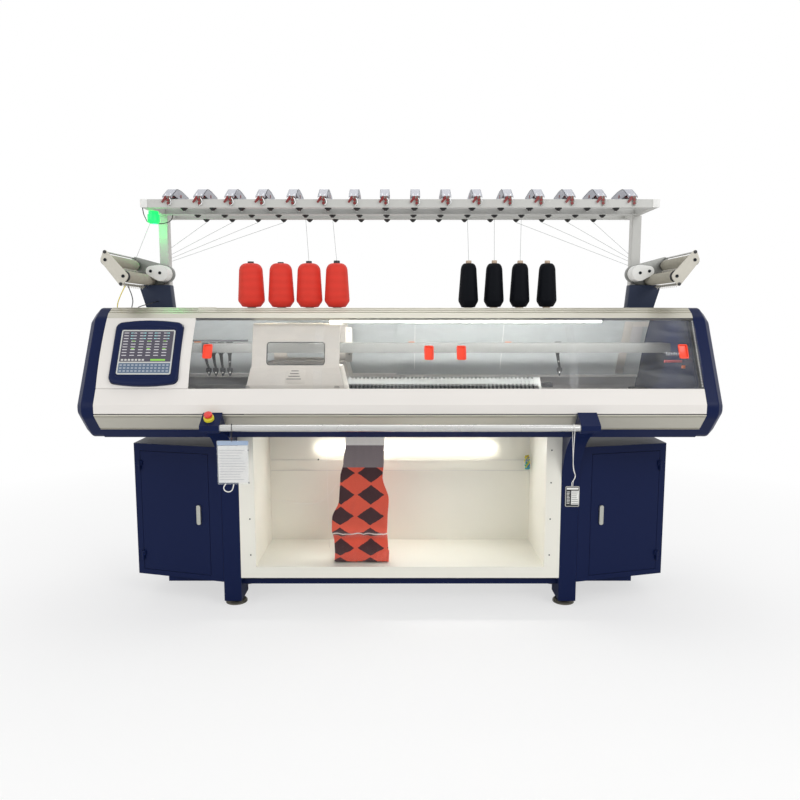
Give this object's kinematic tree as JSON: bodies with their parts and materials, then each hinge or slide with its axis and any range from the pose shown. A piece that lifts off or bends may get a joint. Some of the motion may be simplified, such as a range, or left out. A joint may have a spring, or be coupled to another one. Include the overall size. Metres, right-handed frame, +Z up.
{
  "type": "flat knitting machine",
  "caption": "Computerised flat knitting machine with sliding clear doors, travelling carriage, fabric box, side cabinets, yarn creel and yarn cones.",
  "frame": {"origin": "on the floor under the middle of the outline", "axes": "+X to the right of the person who faces the front, +Y to the rear, +Z up"},
  "size_m": [2.7, 0.97, 1.906],
  "materials": {
    "navy_paint": "satin powder coat",
    "cream_paint": "satin powder coat",
    "frame_paint": "satin paint",
    "box_paint": "satin powder coat",
    "cabinet_paint": "satin powder coat",
    "white_paint": "satin powder coat",
    "extruded_aluminium": "anodised",
    "bed_steel": "ground",
    "rod_chrome": "polished",
    "foot_steel": "zinc plated",
    "lock_zinc": "satin",
    "roller_rubber": "matt",
    "roller_plastic": "ribbed",
    "clear_sheet": "clear, bent",
    "tinted_sheet": "tinted, bent",
    "bezel_plastic": "fine texture",
    "screen_glass": "gloss",
    "carriage_cover": "moulded",
    "bridge_paint": "satin",
    "motor_black": "satin",
    "belt_rubber": "matt",
    "tensioner_grey": "moulded",
    "eyelet_black": "glazed",
    "lamp_green": "clear moulded",
    "lamp_white": "diffusing",
    "stop_yellow": "moulded",
    "stop_red": "moulded",
    "cone_yarn": "wound yarn",
    "yarn": "spun",
    "knit": "knitted"
  },
  "bodies": {
    "root": {"left_end_cap": "navy_paint", "right_end_cap": "navy_paint", "belly_pan": "navy_paint", "front_fascia": "cream_paint", "rear_fascia": "cream_paint", "control_cover": "cream_paint", "table_top": "cream_paint", "left_leg_frame": "frame_paint", "right_leg_frame": "frame_paint", "base_rails": "frame_paint", "fabric_box": "box_paint", "left_cabinet": "cabinet_paint", "right_cabinet": "cabinet_paint", "creel_frame": "white_paint", "creel_rails": "white_paint", "feeder_frames": "white_paint", "table_edges": "extruded_aluminium", "lower_extrusions": "extruded_aluminium", "bed_beams": "bed_steel", "front_needle_bed": "bed_steel", "carrier_rails": "bed_steel", "levelling_feet": "foot_steel", "screen_bezel": "bezel_plastic", "touch_screen": "screen_glass", "drive_motor": "motor_black", "drive_belt": "belt_rubber", "tensioners": "tensioner_grey", "guide_eyelets": "eyelet_black", "signal_lamp": "lamp_green", "lamps": "lamp_white", "stop_switch_base": "stop_yellow", "yarn_cones": "cone_yarn", "yarn_strands": "yarn", "knitted_fabric": "knit"},
    "rear_bed": {"rear_needle_bed": "bed_steel"},
    "carriage": {"carriage_bridge": "bridge_paint", "cam_boxes": "carriage_cover"},
    "yarn_carrier_1": {"yarn_carrier_1": "bed_steel"},
    "yarn_carrier_2": {"yarn_carrier_2": "bed_steel"},
    "yarn_carrier_3": {"yarn_carrier_3": "bed_steel"},
    "yarn_carrier_4": {"yarn_carrier_4": "bed_steel"},
    "yarn_carrier_5": {"yarn_carrier_5": "bed_steel"},
    "front_door_1": {"front_door_1": "clear_sheet"},
    "front_door_2": {"front_door_2": "clear_sheet"},
    "front_door_3": {"front_door_3": "clear_sheet"},
    "front_door_4": {"front_door_4": "clear_sheet"},
    "rear_door_1": {"rear_door_1": "tinted_sheet"},
    "rear_door_2": {"rear_door_2": "tinted_sheet"},
    "left_cabinet_door": {"left_cabinet_door": "cabinet_paint"},
    "left_lock_handle": {"left_lock_handle": "lock_zinc"},
    "right_cabinet_door": {"right_cabinet_door": "cabinet_paint"},
    "right_lock_handle": {"right_lock_handle": "lock_zinc"},
    "operating_rod": {"operating_rod": "rod_chrome"},
    "stop_button": {"stop_button": "stop_red"},
    "front_takedown_roller": {"front_takedown_roller": "roller_rubber"},
    "rear_takedown_roller": {"rear_takedown_roller": "roller_rubber"},
    "left_upper_feed_roller": {"left_upper_feed_roller": "roller_plastic"},
    "left_lower_feed_roller": {"left_lower_feed_roller": "roller_plastic"},
    "right_upper_feed_roller": {"right_upper_feed_roller": "roller_plastic"},
    "right_lower_feed_roller": {"right_lower_feed_roller": "roller_plastic"}
  },
  "joints": [
    {"name": "rear_bed_racking", "type": "slide", "parent": "root", "child": "rear_bed", "axis": [1, 0, 0], "range_m": [-0.025, 0.025]},
    {"name": "carriage_travel", "type": "slide", "parent": "root", "child": "carriage", "axis": [1, 0, 0], "range_m": [-0.495, 1.405]},
    {"name": "yarn_carrier_1_travel", "type": "slide", "parent": "root", "child": "yarn_carrier_1", "axis": [1, 0, 0], "range_m": [-0.035, 1.845]},
    {"name": "yarn_carrier_2_travel", "type": "slide", "parent": "root", "child": "yarn_carrier_2", "axis": [1, 0, 0], "range_m": [-0.067, 1.813]},
    {"name": "yarn_carrier_3_travel", "type": "slide", "parent": "root", "child": "yarn_carrier_3", "axis": [1, 0, 0], "range_m": [-0.099, 1.781]},
    {"name": "yarn_carrier_4_travel", "type": "slide", "parent": "root", "child": "yarn_carrier_4", "axis": [1, 0, 0], "range_m": [-0.131, 1.749]},
    {"name": "yarn_carrier_5_travel", "type": "slide", "parent": "root", "child": "yarn_carrier_5", "axis": [1, 0, 0], "range_m": [-1.702, 0.178]},
    {"name": "front_door_1_slide", "type": "slide", "parent": "root", "child": "front_door_1", "axis": [1, 0, 0], "range_m": [0, 0.5]},
    {"name": "front_door_2_slide", "type": "slide", "parent": "root", "child": "front_door_2", "axis": [1, 0, 0], "range_m": [-0.5, 0]},
    {"name": "front_door_3_slide", "type": "slide", "parent": "root", "child": "front_door_3", "axis": [1, 0, 0], "range_m": [0, 0.5]},
    {"name": "front_door_4_slide", "type": "slide", "parent": "root", "child": "front_door_4", "axis": [1, 0, 0], "range_m": [-0.5, 0]},
    {"name": "rear_door_1_slide", "type": "slide", "parent": "root", "child": "rear_door_1", "axis": [1, 0, 0], "range_m": [0, 1.2]},
    {"name": "rear_door_2_slide", "type": "slide", "parent": "root", "child": "rear_door_2", "axis": [1, 0, 0], "range_m": [-1.2, 0]},
    {"name": "left_cabinet_door_hinge", "type": "hinge", "parent": "root", "child": "left_cabinet_door", "pos_m": [-1.22183, -0.05471, 0.43], "axis": [0, 0, -1], "range_deg": [0, 110]},
    {"name": "left_lock_turn", "type": "hinge", "parent": "left_cabinet_door", "child": "left_lock_handle", "pos_m": [-0.92842, -0.13038, 0.468], "axis": [0.2561, 0.9666, 0], "range_deg": [0, 90]},
    {"name": "right_cabinet_door_hinge", "type": "hinge", "parent": "root", "child": "right_cabinet_door", "pos_m": [1.22183, -0.05471, 0.43], "axis": [0, 0, 1], "range_deg": [0, 110]},
    {"name": "right_lock_turn", "type": "hinge", "parent": "right_cabinet_door", "child": "right_lock_handle", "pos_m": [0.92842, -0.13038, 0.468], "axis": [0.2561, -0.9666, 0], "range_deg": [0, 90]},
    {"name": "operating_rod_turn", "type": "hinge", "parent": "root", "child": "operating_rod", "pos_m": [0, -0.455, 0.889], "axis": [1, 0, 0], "range_deg": [-25, 25]},
    {"name": "stop_button_press", "type": "slide", "parent": "root", "child": "stop_button", "axis": [0, 0.5492, -0.8357], "range_m": [0, 0.005], "stiffness_N_per_m": 800, "springref_m": -0.002},
    {"name": "front_takedown_roller_spin", "type": "hinge", "parent": "root", "child": "front_takedown_roller", "pos_m": [0, 0.021, 0.89], "axis": [1, 0, 0], "continuous": true},
    {"name": "rear_takedown_roller_spin", "type": "hinge", "parent": "root", "child": "rear_takedown_roller", "pos_m": [0, 0.069, 0.89], "axis": [1, 0, 0], "continuous": true},
    {"name": "left_upper_feed_roller_spin", "type": "hinge", "parent": "root", "child": "left_upper_feed_roller", "pos_m": [-1.244, -0.105, 1.579], "axis": [0, 1, 0], "continuous": true},
    {"name": "left_lower_feed_roller_spin", "type": "hinge", "parent": "root", "child": "left_lower_feed_roller", "pos_m": [-1.171, -0.105, 1.511], "axis": [0, 1, 0], "continuous": true},
    {"name": "right_upper_feed_roller_spin", "type": "hinge", "parent": "root", "child": "right_upper_feed_roller", "pos_m": [1.244, -0.105, 1.579], "axis": [0, 1, 0], "continuous": true},
    {"name": "right_lower_feed_roller_spin", "type": "hinge", "parent": "root", "child": "right_lower_feed_roller", "pos_m": [1.171, -0.105, 1.511], "axis": [0, 1, 0], "continuous": true}
  ],
  "couplings": [
    {"joint": "rear_takedown_roller_spin", "follows": "front_takedown_roller_spin", "ratio": -1},
    {"joint": "left_lower_feed_roller_spin", "follows": "left_upper_feed_roller_spin", "ratio": 1},
    {"joint": "right_lower_feed_roller_spin", "follows": "right_upper_feed_roller_spin", "ratio": 1}
  ]
}
